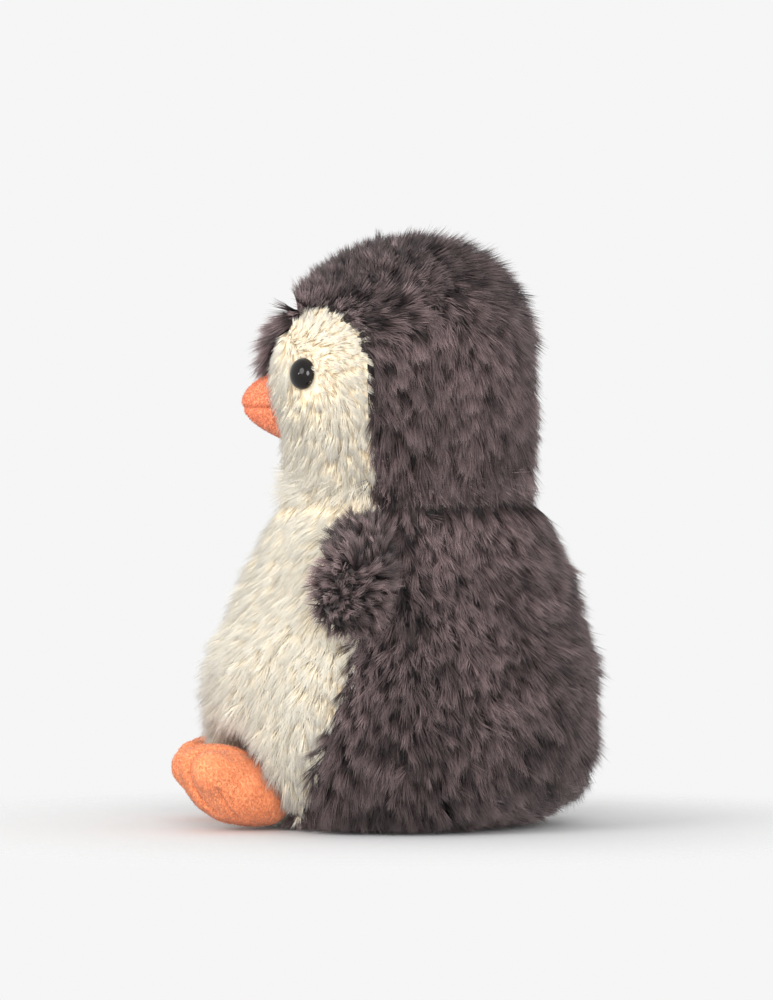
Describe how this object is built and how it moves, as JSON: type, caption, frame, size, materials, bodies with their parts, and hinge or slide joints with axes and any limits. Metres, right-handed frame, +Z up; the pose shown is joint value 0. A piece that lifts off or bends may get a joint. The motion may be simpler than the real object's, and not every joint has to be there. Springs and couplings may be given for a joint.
{
  "type": "plush penguin",
  "caption": "Seated soft toy penguin with a round head, stuffed beak, short stub wings and webbed feet, in long grey and cream pile.",
  "frame": {"origin": "centre of the bounding box at the floor the penguin sits on", "axes": "+Z up, -Y the way the penguin faces, +X the penguin's left"},
  "size_m": [0.1856, 0.1644, 0.2265],
  "materials": {
    "grey_plush": "long matt pile, warm grey",
    "cream_plush": "long matt pile, cream",
    "orange_velour": "short soft nap, orange",
    "orange_seam": "sewing thread, dark orange",
    "plush_backing": "knitted backing cloth",
    "fibre_fill": "loose white fibre",
    "pouch_cloth": "plain woven cloth",
    "pellets": "small plastic pellets",
    "eye_black": "polished black",
    "washer_plastic": "natural white"
  },
  "bodies": {
    "body": {"belly_panel": "cream_plush", "back_panel_left": "grey_plush", "back_panel_right": "grey_plush", "base_panel": "grey_plush", "body_stuffing": "fibre_fill", "pouch_top": "pouch_cloth", "pouch_bottom": "pouch_cloth", "pouch_pellets": "pellets"},
    "neck": {"neck_stuffing": "fibre_fill"},
    "head": {"face_panel_left": "cream_plush", "face_panel_right": "cream_plush", "head_side_panel_left": "grey_plush", "head_side_panel_right": "grey_plush", "crown_gusset": "grey_plush", "head_stuffing": "fibre_fill", "beak_upper": "orange_velour", "beak_lower": "orange_velour", "beak_stuffing": "fibre_fill", "eye_left": "eye_black", "eye_right": "eye_black", "eye_washer_left": "washer_plastic", "eye_washer_right": "washer_plastic"},
    "wing_left": {"wing_outer_left": "grey_plush", "wing_inner_left": "grey_plush", "wing_stuffing_left": "fibre_fill"},
    "wing_right": {"wing_outer_right": "grey_plush", "wing_inner_right": "grey_plush", "wing_stuffing_right": "fibre_fill"},
    "foot_left": {"foot_upper_left": "orange_velour", "foot_sole_left": "orange_velour", "foot_stuffing_left": "fibre_fill"},
    "foot_right": {"foot_upper_right": "orange_velour", "foot_sole_right": "orange_velour", "foot_stuffing_right": "fibre_fill"}
  },
  "joints": [
    {"name": "head_turn", "type": "hinge", "parent": "body", "child": "neck", "pos_m": [0, 0.00967, 0.13], "axis": [0, 0, 1], "range_deg": [-20, 20], "stiffness_Nm_per_rad": 0.06},
    {"name": "head_nod", "type": "hinge", "parent": "neck", "child": "head", "pos_m": [0, 0.00967, 0.13], "axis": [1, 0, 0], "range_deg": [-8, 8], "stiffness_Nm_per_rad": 0.3},
    {"name": "wing_left_lift", "type": "hinge", "parent": "body", "child": "wing_left", "pos_m": [0.0572, -0.00683, 0.114], "axis": [0, -1, 0], "range_deg": [0, 80], "stiffness_Nm_per_rad": 0.01},
    {"name": "wing_right_lift", "type": "hinge", "parent": "body", "child": "wing_right", "pos_m": [-0.0572, -0.00683, 0.114], "axis": [0, 1, 0], "range_deg": [0, 80], "stiffness_Nm_per_rad": 0.01},
    {"name": "foot_left_lift", "type": "hinge", "parent": "body", "child": "foot_left", "pos_m": [0.025, -0.04083, 0.0125], "axis": [-0.9397, -0.342, 0], "range_deg": [0, 12], "stiffness_Nm_per_rad": 0.06},
    {"name": "foot_right_lift", "type": "hinge", "parent": "body", "child": "foot_right", "pos_m": [-0.025, -0.04083, 0.0125], "axis": [-0.9397, 0.342, 0], "range_deg": [0, 12], "stiffness_Nm_per_rad": 0.06}
  ]
}
